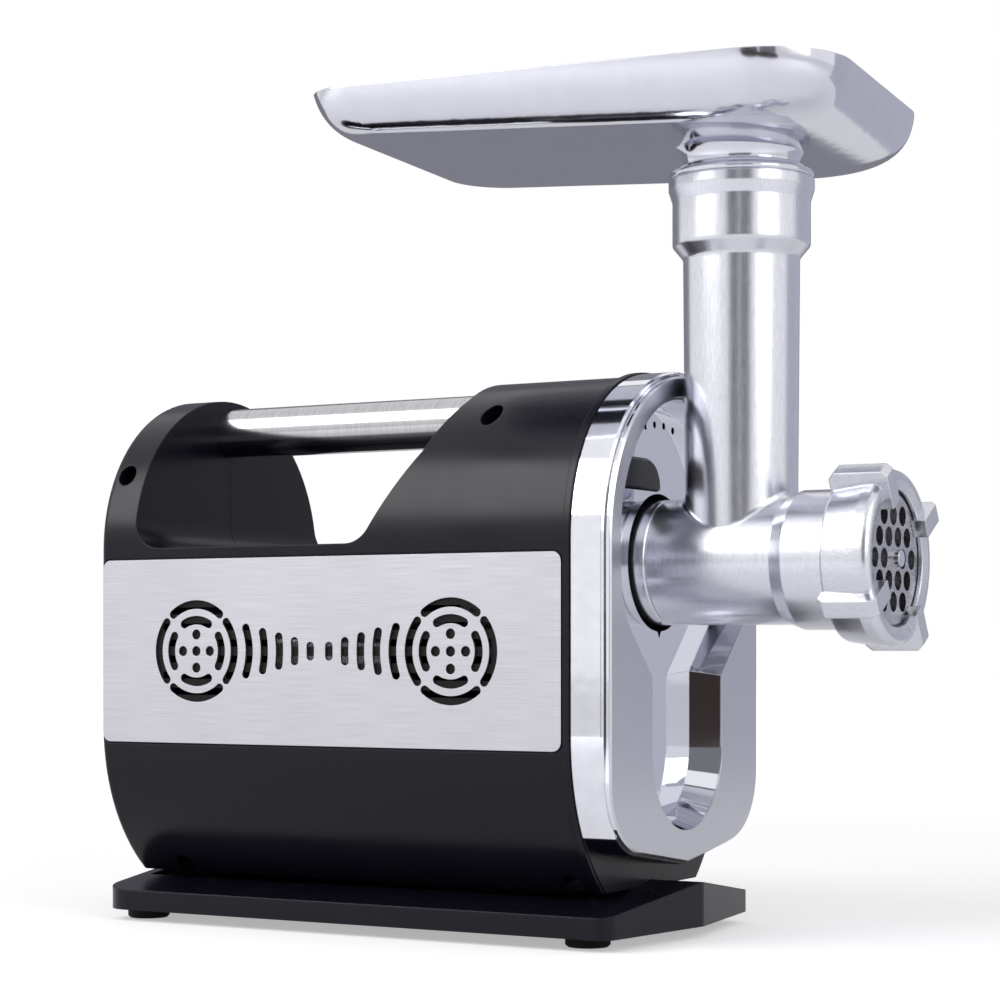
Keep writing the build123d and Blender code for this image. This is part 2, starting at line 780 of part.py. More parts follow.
with BuildPart() as front_plate:
    extrude(face_outline(face_x - face_flange, 0), amount=face_flange)
    chamfer(front_plate.faces().sort_by(Axis.X)[-1].edges(), 0.8)
    add(keyhole_block(floor_x - dial_wall, face_x - face_flange, dial_wall))
    add(keyhole_block(floor_x, face_x + 0.1, 0), mode=Mode.SUBTRACT)
    extrude(button_outline(floor_x - dial_wall - 1, button_fit), amount=dial_wall + 2, mode=Mode.SUBTRACT)
    with BuildSketch(Plane.YZ.offset(floor_x - dial_wall - 1)):
        with Locations((0, head_z)):
            Circle(ring_gap_radius)
            with PolarLocations(index_hole_ring, 4, start_angle=90 - 1.5 * index_hole_step,
                                angular_range=4 * index_hole_step):
                Circle(index_hole_radius)
            with PolarLocations(ring_gap_radius, 1, start_angle=-90):
                RegularPolygon(3.2, 3)
    extrude(amount=dial_wall + 2, mode=Mode.SUBTRACT)
front_plate.part.label = "front_plate"
export_step(front_plate.part, "parts/front_plate.step")

# ---------------------------------------------------------------- head lock and socket

lock_travel = 6.0
tongue_width = 7.0
tongue_x = 107.0
tongue_thickness = 3.0
tongue_depth = 3.0              # how far the tongue reaches into the head's plug
tongue_fit = 0.3
button_proud = 1.5
button_length = 9.5
button_x = floor_x + button_proud - button_length
tongue_y = button_center[0] + 11.0
socket_radius = 34.0
socket_front = floor_x - dial_wall
socket_mouth_depth = 6.5
socket_back = 96.5

with BuildPart() as lock_button:
    extrude(button_outline(button_x, 0), amount=button_length)
    chamfer(lock_button.faces().sort_by(Axis.X)[-1].edges(), 0.6)
    # Arm down to the tongue that stops the head from turning.
    with BuildSketch(Plane.YZ.offset(tongue_x)):
        with Locations((tongue_y, head_z + spigot_radius - tongue_depth)):
            Rectangle(tongue_width, button_center[1] - head_z - spigot_radius + tongue_depth,
                      align=(Align.CENTER, Align.MIN))
    extrude(amount=tongue_thickness)
    with BuildSketch(Plane.YZ.offset(tongue_x)):
        with Locations((tongue_y, button_center[1])):
            Rectangle(tongue_width, 6)
    extrude(amount=button_x - tongue_x)
lock_button.part.label = "lock_button"
export_step(lock_button.part, "parts/lock_button.step")


def tongue_slot(x, low_z):
    """Room for the tongue from x to its front, up and out of the head's plug."""
    with BuildPart() as room:
        with BuildSketch(Plane.YZ.offset(x)):
            with Locations((tongue_y, low_z)):
                Rectangle(tongue_width + 2 * tongue_fit, 2 * spigot_radius,
                          align=(Align.CENTER, Align.MIN))
        extrude(amount=tongue_x + tongue_thickness + 2 * tongue_fit - x)
    return room.part


with BuildPart() as head_socket:
    with BuildSketch(Plane.YZ.offset(socket_back)):
        with Locations((0, head_z)):
            Circle(socket_radius)
            Circle(spigot_radius + spigot_fit, mode=Mode.SUBTRACT)
    extrude(amount=socket_front - socket_back)
    with BuildSketch(Plane.YZ.offset(socket_front - socket_mouth_depth)):
        with Locations((0, head_z)):
            Circle(ring_gap_radius)
    extrude(amount=socket_mouth_depth + 1, mode=Mode.SUBTRACT)
    add(tongue_slot(spigot_back, head_z), mode=Mode.SUBTRACT)
    extrude(button_outline(button_x - lock_travel - 0.5, button_fit), amount=socket_front, mode=Mode.SUBTRACT)
head_socket.part.label = "head_socket"
export_step(head_socket.part, "parts/head_socket.step")

# ---------------------------------------------------------------- mincing head

wall_front = spigot_back + 14.0 + barrel_back_wall      # front of the wall that carries the auger
coupling_radius = 15.0                                  # room for the drive coupling in the plug
auger_axis = Plane(origin=(0, 0, head_z), x_dir=(1, 0, 0), z_dir=(0, -1, 0))

with BuildPart() as grinder_head:
    with BuildSketch(auger_axis):
        with BuildLine():
            Polyline((spigot_back, 0), (spigot_back, spigot_radius),
                     (barrel_groove_x - barrel_groove, spigot_radius),
                     (barrel_groove_x, spigot_radius - barrel_groove),
                     (barrel_groove_x + barrel_groove, barrel_radius), (mouth_start - 6, barrel_radius),
                     (mouth_start, mouth_radius), (barrel_front, mouth_radius), (barrel_front, 0),
                     close=True)
        make_face()
    revolve(axis=Axis((0, 0, head_z), (1, 0, 0)))
    with BuildSketch(Plane.XZ.shift_origin((throat_x, 0, 0))):
        rim_low_z = throat_top_z - throat_rim_height
        with BuildLine():
            outside = FilletPolyline(
                (throat_radius_low, head_z), (throat_radius_high, throat_collar_low),
                (throat_collar_radius, throat_collar_low + throat_shoulder),
                (throat_collar_radius, rim_low_z), (throat_rim_radius, rim_low_z + throat_rim_slope),
                (throat_rim_radius, throat_top_z - 0.6),
                radius=throat_round)
            Polyline(outside @ 1, (throat_rim_radius - 0.6, throat_top_z), (0, throat_top_z), (0, head_z),
                     outside @ 0)
        make_face()
    revolve(axis=Axis((throat_x, 0, 0), (0, 0, 1)))
    seam = [edge for edge in grinder_head.edges()
            if throat_radius_low + 1 > edge.center().Z - head_z > 5 and abs(edge.center().X - throat_x) < 30
            and edge.geom_type not in (GeomType.CIRCLE, GeomType.LINE)]
    fillet(seam, throat_saddle)
    # Bores: drive coupling, auger shaft, auger, mouth and throat.
    for x, length, radius in ((spigot_back - 1, 15.0, coupling_radius),
                              (spigot_back, 60.0, shaft_radius + running),
                              (wall_front, barrel_front - wall_front, barrel_bore),
                              (barrel_front - mouth_depth, mouth_depth + 1, mouth_bore)):
        with BuildSketch(Plane.YZ.offset(x)):
            with Locations((0, head_z)):
                Circle(radius)
        extrude(amount=length, mode=Mode.SUBTRACT)
    with BuildSketch(Plane.XY.offset(head_z)):
        with Locations((throat_x, 0)):
            Circle(throat_bore)
    extrude(amount=throat_top_z - head_z + 1, mode=Mode.SUBTRACT)
    with BuildSketch(Plane.XY.offset(throat_top_z - throat_seat_depth)):
        with Locations((throat_x, 0)):
            Circle(throat_seat_radius)
    extrude(amount=throat_seat_depth + 1, mode=Mode.SUBTRACT)
    # Slot for the lock's tongue; behind it the plug is thinner, so that the pushed-back
    # tongue lets the head turn.
    nose_radius = spigot_radius - tongue_depth - tongue_fit
    add(tongue_slot(spigot_back - 1, head_z + nose_radius), mode=Mode.SUBTRACT)
    with BuildSketch(Plane.YZ.offset(spigot_back - 1)):
        with Locations((0, head_z)):
            Circle(spigot_radius + 1)
            Circle(nose_radius, mode=Mode.SUBTRACT)
    extrude(amount=tongue_x - lock_travel + tongue_thickness + tongue_fit - spigot_back + 1,
            mode=Mode.SUBTRACT)
grinder_head.part.label = "grinder_head"
export_step(grinder_head.part, "parts/grinder_head.step")

# ---------------------------------------------------------------- auger, knife and perforated plate

disc_front = barrel_front + 4.0
disc_back = disc_front - disc_thickness
knife_back = disc_back - knife_thickness
auger_front = knife_back
flight_radius = barrel_bore - auger_clearance
dog_back = 103.0

with BuildPart() as auger:
    with BuildSketch(auger_axis):
        with BuildLine():
            Polyline((auger_back, 0), (auger_back, auger_core_back), (auger_front, auger_core_front),
                     (auger_front, 0), close=True)
        make_face()
    revolve(axis=Axis((0, 0, head_z), (1, 0, 0)))
    with BuildLine():
        flight_path = Helix(pitch=auger_pitch, height=auger_front - auger_back - 2 * auger_flight,
                            radius=(flight_radius + auger_core_back) / 2 - 1,
                            center=(auger_back + auger_flight, 0, head_z), direction=(1, 0, 0))
    start = flight_path @ 0
    outward = Vector(0, start.Y, start.Z - head_z)
    with BuildSketch(Plane(origin=start, x_dir=outward, z_dir=flight_path % 0)):
        Rectangle(flight_radius - auger_core_back + 2, auger_flight)
    sweep(is_frenet=True)
    with BuildSketch(auger_axis):
        with BuildLine():
            Polyline((auger_back, 0), (auger_back, flight_radius), (auger_front, flight_radius),
                     (auger_front, 0), close=True)
        make_face()
    revolve(axis=Axis((0, 0, head_z), (1, 0, 0)), mode=Mode.INTERSECT)
    # Rear journal and drive hexagon; front square and pin.
    with BuildSketch(Plane.YZ.offset(wall_front - barrel_back_wall)):
        with Locations((0, head_z)):
            Circle(shaft_radius)
    extrude(amount=auger_back - wall_front + barrel_back_wall)
    with BuildSketch(Plane.YZ.offset(dog_back)):
        with Locations((0, head_z)):
            RegularPolygon(dog_flats / 2, 6, major_radius=False)
    extrude(amount=wall_front - barrel_back_wall - dog_back)
    with BuildSketch(Plane.YZ.offset(auger_front)):
        with Locations((0, head_z)):
            Rectangle(knife_square, knife_square)
    extrude(amount=knife_thickness)
    with BuildSketch(Plane.YZ.offset(auger_front)):
        with Locations((0, head_z)):
            Circle(pin_radius)
    extrude(amount=disc_front + pin_proud - auger_front)
auger.part.label = "auger"
export_step(auger.part, "parts/auger.step")

blade_shape = [(0, -4.5), (knife_radius, -2.0), (knife_radius, 5.0), (12.0, 7.0), (0, 7.5)]
with BuildPart() as knife:
    with BuildSketch(Plane.YZ.offset(knife_back)):
        with Locations((0, head_z)):
            Circle(11)
            with PolarLocations(0, 4):
                Polygon(*blade_shape, align=None)
            Rectangle(knife_square + 2 * knife_fit, knife_square + 2 * knife_fit, mode=Mode.SUBTRACT)
    extrude(amount=knife_thickness)
knife.part.label = "knife"
export_step(knife.part, "parts/knife.step")

with BuildPart() as perforated_plate:
    with BuildSketch(Plane.YZ.offset(disc_back)):
        with Locations((0, head_z)):
            Circle(disc_radius)
            Circle(pin_radius + running, mode=Mode.SUBTRACT)
            for ring, start_angle in ((disc_pitch, 0), (disc_pitch * sqrt(3), 30), (2 * disc_pitch, 0)):
                with PolarLocations(ring, 6, start_angle=start_angle):
                    Circle(disc_hole, mode=Mode.SUBTRACT)
    extrude(amount=disc_thickness)
perforated_plate.part.label = "perforated_plate"
export_step(perforated_plate.part, "parts/perforated_plate.step")

# ---------------------------------------------------------------- ring nut

with BuildPart() as lug_envelope:
    with BuildSketch(auger_axis):
        with BuildLine():
            Polyline((nut_back, 0), (nut_back, lug_radius - lug_bevel), (nut_back + lug_bevel, lug_radius),
                     (lug_front - lug_bevel, lug_radius), (lug_front, lug_radius - lug_bevel), (lug_front, 0),
                     close=True)
        make_face()
    revolve(axis=Axis((0, 0, head_z), (1, 0, 0)))

with BuildPart() as ring_nut:
    with BuildSketch(auger_axis) as nut_profile:
        with BuildLine():
            Polyline((nut_back, 0), (nut_back, nut_radius), (nut_flange_back, nut_flange_radius),
                     (nut_front, nut_flange_radius), (nut_front - nut_dish, nut_opening),
                     (nut_front - nut_dish, 0), close=True)
        make_face()
        fillet(nut_profile.vertices().sort_by_distance(Vector(nut_front, nut_flange_radius))[0], nut_round)
        fillet(nut_profile.vertices().sort_by_distance(Vector(nut_back, nut_radius))[0], nut_round / 2)
    revolve(axis=Axis((0, 0, head_z), (1, 0, 0)))
    lug_start = (nut_radius + nut_fit + mouth_radius) / 2
    with BuildSketch(Plane.YZ.offset(nut_back)):
        with Locations((0, head_z)):
            with PolarLocations((lug_start + lug_radius) / 2, lug_count, start_angle=lug_turn):
                Rectangle(lug_radius - lug_start, lug_width)
    extrude(amount=lug_front - nut_back)
    with BuildSketch(Plane.YZ.offset(disc_front + 0.1)):
        with Locations((0, head_z)):
            with PolarLocations((lug_tab_radius + lug_radius) / 2, lug_count, start_angle=lug_turn):
                Rectangle(lug_radius - lug_tab_radius, lug_width)
    extrude(amount=lug_front - disc_front - 0.1)
    add(lug_envelope.part, mode=Mode.INTERSECT)
    with BuildSketch(Plane.YZ.offset(nut_back - 1)):
        with Locations((0, head_z)):
            Circle(mouth_radius + nut_fit)
    extrude(amount=barrel_front - nut_back + 1.1, mode=Mode.SUBTRACT)
    with BuildSketch(Plane.YZ.offset(nut_back)):
        with Locations((0, head_z)):
            Circle(nut_opening)
    extrude(amount=disc_front + 0.1 - nut_back, mode=Mode.SUBTRACT)
    with BuildSketch(Plane.YZ.offset(disc_front)):
        with Locations((0, head_z)):
            Circle(nut_opening)
            with PolarLocations((lug_tab_radius + lug_radius) / 2, lug_count, start_angle=lug_turn):
                Rectangle(lug_radius - lug_tab_radius, lug_width, mode=Mode.SUBTRACT)
    extrude(amount=lug_front - disc_front + 1, mode=Mode.SUBTRACT)
ring_nut.part.label = "ring_nut"
export_step(ring_nut.part, "parts/ring_nut.step")

# ---------------------------------------------------------------- tray


def tray_plane(height, drop=0.0):
    """Plane at the tray's throat, turned with the tray; drop tips its front end down."""
    plane = Plane(origin=(throat_x, 0, height), z_dir=(0, 0, 1)).rotated((0, 0, tray_turn))
    return plane.rotated((0, drop, 0)) if drop else plane


dish_slope = degrees(atan2(dish_back_z - dish_front_z, dish_front - dish_back))
dish_throat_z = dish_front_z + (dish_back_z - dish_front_z) * dish_front / (dish_front - dish_back)


def tray_loft(inset, lift):
    """Rounded block from the tray's rim, through a belly, to its smaller and sloping floor."""
    depth = tray_rim_z - dish_throat_z
    rim = (tray_back, tray_front, tray_width, tray_back_round, tray_front_round)
    belly = (tray_back + tray_belly_inset, tray_front - tray_belly_inset,
             tray_width - 2 * tray_belly_inset, tray_back_round - tray_belly_inset,
             tray_front_round - tray_belly_inset)
    dish = (dish_back, dish_front, dish_width, dish_back_round, dish_front_round)
    with BuildPart() as block:
        for share, (back, front, width, back_round, front_round) in ((0, rim), (tray_belly, belly), (1, dish)):
            height = tray_rim_z - share * depth + (lift if share else 0)
            with BuildSketch(tray_plane(height, share * dish_slope)) as outline:
                with Locations(((back + front) / 2, 0)):
                    Rectangle(front - back - 2 * inset, width - 2 * inset)
                fillet(outline.vertices().group_by(Axis.X)[-1], front_round - inset)
                fillet(outline.vertices().group_by(Axis.X)[0], back_round - inset)
        loft()
    return block.part


spigot_outer = throat_seat_radius - tray_spigot_fit
with BuildPart() as feed_tray:
    add(tray_loft(0, 0))
    with BuildSketch(Plane.XZ.shift_origin((throat_x, 0, 0))):
        spigot_low_z = throat_top_z - throat_seat_depth + 0.5
        dish_inside_z = dish_throat_z + tray_wall + 0.8
        with BuildLine():
            Polyline((0, spigot_low_z), (spigot_outer, spigot_low_z), (spigot_outer, throat_top_z),
                     (throat_rim_radius - 0.6, throat_top_z))
            # Rounded ring on the throat's rim, a thinner ring above it and the flare of the neck.
            ring = ThreePointArc((throat_rim_radius - 0.6, throat_top_z),
                                 (throat_rim_radius, throat_top_z + 1.4),
                                 (throat_rim_radius - 1.4, throat_top_z + 3.0))
            neck = Polyline(ring @ 1, (tray_neck_radius + 2.4, throat_top_z + 3.6),
                            (tray_neck_radius + 1.8, throat_top_z + 4.8),
                            (tray_neck_radius, throat_top_z + 5.2), (tray_neck_radius, throat_top_z + 6.0))
            RadiusArc(neck @ 1, (tray_flare_radius, dish_inside_z), 9.5)
            Polyline((tray_flare_radius, dish_inside_z), (0, dish_inside_z), (0, spigot_low_z))
        make_face()
    revolve(axis=Axis((throat_x, 0, 0), (0, 0, 1)))
    add(tray_loft(tray_wall, tray_wall), mode=Mode.SUBTRACT)
    with BuildSketch(Plane.XY.offset(throat_top_z - throat_seat_depth)):
        with Locations((throat_x, 0)):
            Circle(throat_bore - 0.6)
    extrude(amount=tray_rim_z - throat_top_z + throat_seat_depth, mode=Mode.SUBTRACT)
feed_tray.part.label = "feed_tray"
export_step(feed_tray.part, "parts/feed_tray.step")

# ---------------------------------------------------------------- gears and shafts

first_distance = first_module * sum(first_teeth) / 2 + mesh_clearance
second_distance = second_module * sum(second_teeth) / 2 + mesh_clearance
third_distance = third_module * sum(third_teeth) / 2 + mesh_clearance
second_center = (second_center_y, head_z - sqrt(third_distance ** 2 - second_center_y ** 2))
# The first arbor lies where its distances to the motor and the second arbor meet.
span = distance(motor_center, second_center)
along = (first_distance ** 2 - second_distance ** 2 + span ** 2) / (2 * span)
aside = sqrt(first_distance ** 2 - along ** 2)
unit = ((second_center[0] - motor_center[0]) / span, (second_center[1] - motor_center[1]) / span)
first_center = (motor_center[0] + along * unit[0] + aside * unit[1],
                motor_center[1] + along * unit[1] - aside * unit[0])


def wheel_phase(center, driver, teeth):
    """Phase that puts a gap of the wheel opposite a tooth of its driver."""
    return bearing_between(center, driver) + 180 / teeth


def arbor(name, center, wheel, wheel_span, pinion, pinion_span, ends):
    """Shaft with a wheel and a pinion; each is (module, teeth, phase)."""
    with BuildPart() as part:
        for (module, teeth, phase), (back, front) in ((wheel, wheel_span), (pinion, pinion_span)):
            extrude(gear_outline(cross_plane(back, center), module, teeth, phase), amount=front - back)
        with BuildSketch(cross_plane(ends[0], center)):
            Circle(arbor_radius)
        extrude(amount=ends[1] - ends[0])
    part.part.label = name
    export_step(part.part, f"parts/{name}.step")


arbor_ends = (case_back + 0.5, case_front - 0.5)
arbor("first_arbor", first_center,
      (first_module, first_teeth[1], wheel_phase(first_center, motor_center, first_teeth[1])), first_stage,
      (second_module, second_teeth[0], bearing_between(first_center, second_center)), second_stage,
      arbor_ends)
arbor("second_arbor", second_center,
      (second_module, second_teeth[1], wheel_phase(second_center, first_center, second_teeth[1])),
      second_stage,
      (third_module, third_teeth[0], bearing_between(second_center, output_center)), third_stage, arbor_ends)

output_hub_radius = 13.0
output_journal_radius = 10.0
with BuildPart() as output_shaft:
    extrude(gear_outline(cross_plane(third_stage[0], output_center), third_module, third_teeth[1],
                         wheel_phase(output_center, second_center, third_teeth[1])),
            amount=third_stage[1] - third_stage[0])
    for back, front, radius in ((case_back + 0.5, third_stage[0], arbor_radius),
                                (third_stage[1], case_front + 0.5, output_journal_radius),
                                (case_front + 0.5, wall_front - barrel_back_wall - 0.5, output_hub_radius)):
        with BuildSketch(cross_plane(back, output_center)):
            Circle(radius)
        extrude(amount=front - back)
    with BuildSketch(cross_plane(dog_back - 0.5, output_center)):
        RegularPolygon(dog_flats / 2 + dog_clearance, 6, major_radius=False)
    extrude(amount=wall_front, mode=Mode.SUBTRACT)
output_shaft.part.label = "output_shaft"
export_step(output_shaft.part, "parts/output_shaft.step")

# ---------------------------------------------------------------- gearbox

room_circles = [(motor_center, 16.0),
                (first_center, first_module * first_teeth[1] / 2 + wheel_room),
                (second_center, second_module * second_teeth[1] / 2 + wheel_room),
                (output_center, third_module * third_teeth[1] / 2 + wheel_room)]
bearing_radius = arbor_radius + running


def case_outline(x, grow):
    """Hull round the wheels."""
    with BuildSketch(Plane.YZ.offset(x)) as outline:
        with BuildLine():
            for center, radius in room_circles:
                CenterArc(center, radius + grow, 0, 360)
        make_hull()
    return outline.sketch


with BuildPart() as gearbox_cover:
    extrude(case_outline(case_back, case_wall), amount=case_split - case_back)
    extrude(case_outline(case_back + case_wall, 0), amount=case_split - case_back, mode=Mode.SUBTRACT)
    for center, radius in ((motor_center, motor_shaft_radius + running), (first_center, bearing_radius),
                           (second_center, bearing_radius), (output_center, bearing_radius)):
        with BuildSketch(cross_plane(case_back - 1, center)):
            Circle(radius)
        extrude(amount=case_wall + 2, mode=Mode.SUBTRACT)
gearbox_cover.part.label = "gearbox_cover"
export_step(gearbox_cover.part, "parts/gearbox_cover.step")

with BuildPart() as gearbox_case:
    extrude(case_outline(case_split, case_wall), amount=case_front - case_split)
    extrude(case_outline(case_split - 1, 0), amount=case_front - case_split - case_wall + 1,
            mode=Mode.SUBTRACT)
    for center, radius in ((first_center, bearing_radius), (second_center, bearing_radius),
                           (output_center, output_journal_radius + running)):
        with BuildSketch(cross_plane(case_front - case_wall - 1, center)):
            Circle(radius)
        extrude(amount=case_wall + 2, mode=Mode.SUBTRACT)
    # Seat of the head socket.
    with BuildSketch(cross_plane(socket_back, output_center)):
        Circle(socket_radius + running)
        Circle(spigot_radius, mode=Mode.SUBTRACT)
    extrude(amount=case_front - socket_back + 1, mode=Mode.SUBTRACT)
gearbox_case.part.label = "gearbox_case"
export_step(gearbox_case.part, "parts/gearbox_case.step")

# ---------------------------------------------------------------- motor

rotor_bore = rotor_radius + rotor_gap
bolt_places = [(y * (stator_width / 2 - bolt_inset), z * (stator_height / 2 - bolt_inset))
               for y in (-1, 1) for z in (-1, 1)]
bracket_vents = [(0, z * (stator_height / 2 - bracket_vent_inset)) for z in (-1, 1)]
bolt_seat = case_back - 0.2

with BuildPart() as stator:
    with BuildSketch(cross_plane(stator_back, motor_center)):
        RectangleRounded(stator_width, stator_height, motor_corner_round)
        Circle(rotor_bore, mode=Mode.SUBTRACT)
        with Locations((0, 0)):
            SlotCenterToCenter(2 * (rotor_bore + 1), 13, mode=Mode.SUBTRACT)
        with Locations(*bolt_places):
            Circle(bolt_radius + tube_fit, mode=Mode.SUBTRACT)
    extrude(amount=stator_front - stator_back)
stator.part.label = "motor_stator"
export_step(stator.part, "parts/motor_stator.step")

coil_depth = 13.0
with BuildPart() as coils:
    for x in (stator_back - coil_depth, stator_front):
        with BuildSketch(cross_plane(x, motor_center)):
            Circle(rotor_bore + 8)
            Circle(rotor_bore + 0.6, mode=Mode.SUBTRACT)
            Rectangle(4 * rotor_bore, 14, mode=Mode.SUBTRACT)
        extrude(amount=coil_depth)
coils.part.label = "field_coils"
export_step(coils.part, "parts/field_coils.step")

shaft_back = fan_x - 8.0
commutator_x = 20.0
with BuildPart() as rotor:
    with BuildSketch(cross_plane(stator_back + 2, motor_center)):
        Circle(rotor_radius)
        with PolarLocations(rotor_radius - 4, 12):
            Rectangle(9, 2, mode=Mode.SUBTRACT)
    extrude(amount=stator_front - stator_back - 4)
    with BuildSketch(cross_plane(shaft_back, motor_center)):
        Circle(motor_shaft_radius)
    extrude(amount=first_stage[0] - shaft_back)
    extrude(gear_outline(cross_plane(first_stage[0], motor_center), first_module, first_teeth[0],
                         bearing_between(motor_center, first_center)),
            amount=first_stage[1] - first_stage[0])
rotor.part.label = "motor_rotor"
export_step(rotor.part, "parts/motor_rotor.step")

with BuildPart() as commutator:
    with BuildSketch(cross_plane(commutator_x, motor_center)):
        Circle(commutator_radius)
        with PolarLocations(commutator_radius - 0.4, 12):
            Rectangle(1.6, 0.8, mode=Mode.SUBTRACT)
        Circle(motor_shaft_radius, mode=Mode.SUBTRACT)
    extrude(amount=commutator_length)
commutator.part.label = "commutator"
export_step(commutator.part, "parts/commutator.step")

with BuildPart() as fan:
    with BuildSketch(cross_plane(fan_x, motor_center)):
        Circle(fan_radius)
        Circle(motor_shaft_radius, mode=Mode.SUBTRACT)
    extrude(amount=1.6)
    with BuildSketch(cross_plane(fan_x + 1.6, motor_center)):
        Circle(9)
        Circle(motor_shaft_radius, mode=Mode.SUBTRACT)
        with PolarLocations((fan_radius + 8) / 2, 9, rotate=True):
            Rectangle(fan_radius - 9, 1.6, rotation=14)
    extrude(amount=fan_width - 1.6)
fan.part.label = "motor_fan"
export_step(fan.part, "parts/motor_fan.step")

with BuildPart() as rear_bracket:
    with BuildSketch(cross_plane(bracket_back, motor_center)):
        RectangleRounded(stator_width, stator_height, motor_corner_round)
        with Locations(*bracket_vents):
            SlotOverall(*bracket_vent, mode=Mode.SUBTRACT)
        with Locations(*bolt_places):
            Circle(bolt_radius + tube_fit, mode=Mode.SUBTRACT)
    extrude(amount=bracket_thickness)
    with BuildSketch(cross_plane(bracket_back, motor_center)):
        Circle(9)
    extrude(amount=bracket_thickness + 5)
    with BuildSketch(cross_plane(bracket_back - 1, motor_center)):
        Circle(motor_shaft_radius + running)
    extrude(amount=bracket_thickness + 8, mode=Mode.SUBTRACT)
rear_bracket.part.label = "motor_rear_bracket"
export_step(rear_bracket.part, "parts/motor_rear_bracket.step")

brush_plate_x = commutator_x + commutator_length + brush_plate_gap
with BuildPart() as brush_plate:
    with BuildSketch(cross_plane(brush_plate_x, motor_center)):
        RectangleRounded(stator_width, stator_height, motor_corner_round)
        Circle(motor_shaft_radius + 4, mode=Mode.SUBTRACT)
        with Locations(*bracket_vents):
            SlotOverall(*bracket_vent, mode=Mode.SUBTRACT)
        with Locations(*bolt_places):
            Circle(bolt_radius + tube_fit, mode=Mode.SUBTRACT)
    extrude(amount=brush_plate_thickness)
    with BuildSketch(cross_plane(commutator_x + 3, motor_center)):
        with Locations((brush_y, 0), (-brush_y, 0)):
            Rectangle(*brush_holder)
    extrude(amount=brush_plate_x - commutator_x - 3)
brush_plate.part.label = "brush_holders"
export_step(brush_plate.part, "parts/brush_holders.step")

with BuildPart() as motor_bolts:
    for y, z in bolt_places:
        place = (motor_center[0] + y, motor_center[1] + z)
        with BuildSketch(cross_plane(bracket_back, place)):
            Circle(bolt_radius)
        extrude(amount=bolt_seat - bracket_back)
        with BuildSketch(cross_plane(bracket_back - 3.5, place)):
            RegularPolygon(4.5, 6)
        extrude(amount=3.5)
motor_bolts.part.label = "motor_bolts"
export_step(motor_bolts.part, "parts/motor_bolts.step")
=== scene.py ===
# Electric meat grinder on a plain pale floor.
from math import cos, radians, sin

import bmesh
import bpy
from mathutils import Matrix, Vector

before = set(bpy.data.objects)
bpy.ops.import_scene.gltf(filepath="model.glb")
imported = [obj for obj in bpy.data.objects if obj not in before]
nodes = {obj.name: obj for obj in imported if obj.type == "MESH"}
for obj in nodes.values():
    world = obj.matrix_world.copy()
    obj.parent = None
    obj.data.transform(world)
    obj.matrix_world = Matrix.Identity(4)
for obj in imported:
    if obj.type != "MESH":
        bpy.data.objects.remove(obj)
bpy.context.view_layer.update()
millimetre = 0.001
quarterTurn = radians(90)
print("frame loaded:", len(nodes), "nodes")


# sRGB hex to linear RGBA
def hexColor(text):
    values = []
    for start in (1, 3, 5):
        channel = int(text[start:start + 2], 16) / 255
        values.append(channel / 12.92 if channel <= 0.04045 else ((channel + 0.055) / 1.055) ** 2.4)
    return (*values, 1.0)


# adds one node; an input is a value or another node's output, _N stands for input number N
def addNode(tree, kind, settings=None, **inputs):
    node = tree.nodes.new(kind)
    for name, value in (settings or {}).items():
        setattr(node, name, value)
    for name, value in inputs.items():
        key = int(name[1:]) if name[0] == "_" else name.replace("_", " ")
        if isinstance(value, bpy.types.NodeSocket):
            tree.links.new(value, node.inputs[key])
        else:
            node.inputs[key].default_value = value
    return node


def newMaterial(name):
    material = bpy.data.materials.new(name)
    material.use_nodes = True
    material.node_tree.nodes.clear()
    return material, material.node_tree


def dress(material, *names):
    for name in names:
        nodes[name].data.materials.clear()
        nodes[name].data.materials.append(material)


# object coordinates in millimetres; a small stretch draws a pattern out along that axis
def millimetres(tree, stretch=(1.0, 1.0, 1.0)):
    place = addNode(tree, "ShaderNodeTexCoord")
    scale = tuple(value / millimetre for value in stretch)
    return addNode(tree, "ShaderNodeMapping", Vector=place.outputs["Object"], Scale=scale).outputs[0]


# shared by the materials: most of a noise texture's values lie between noiseLow and noiseHigh, and the
# depths of the bumps are in metres
surfaceSet = {"noiseLow": 0.3, "noiseHigh": 0.7, "edgeSamples": 4, "grainDepth": 0.0002,
              "seamDepth": 0.0004, "lineDepth": 0.0001, "waveDepth": 0.002}


# the edges of a piece look rounded by this radius in millimetres
def softEdge(tree, radius):
    edge = addNode(tree, "ShaderNodeBevel", {"samples": surfaceSet["edgeSamples"]},
                   Radius=radius * millimetre)
    return edge.outputs[0]


# from the first color to the second as the factor's node goes from 0 to 1
def mixColors(tree, factor, first, second):
    return addNode(tree, "ShaderNodeMix", {"data_type": "RGBA"}, Factor=factor.outputs[0],
                   _6=hexColor(first), _7=hexColor(second)).outputs[2]


# moulded plastic: a fine spark-eroded grain breaks the shine, and the joint of the halves is a dark hairline
housingLook = {"name": "mouldedBlackAbs", "color": "#0f0d19", "roughness": 0.25, "specular": 0.24,
               "grain": 0.5, "bump": 0.06, "seam": 0.28, "edge": 0.9}
switchLook = {"name": "smoothBlackAbs", "color": "#0c0c0e", "roughness": 0.26, "specular": 0.45,
              "grain": 0.3, "bump": 0.03, "seam": 0.0, "edge": 0.3}
socketLook = {"name": "blackPolyamide", "color": "#08080a", "roughness": 0.5, "specular": 0.2,
              "grain": 0.4, "bump": 0.05, "seam": 0.0, "edge": 0.2}
# rubber: dull, with a coarser skin
footLook = {"name": "blackRubber", "color": "#161616", "roughness": 0.72, "specular": 0.3,
            "grain": 0.6, "bump": 0.3, "seam": 0.0, "edge": 0.4}
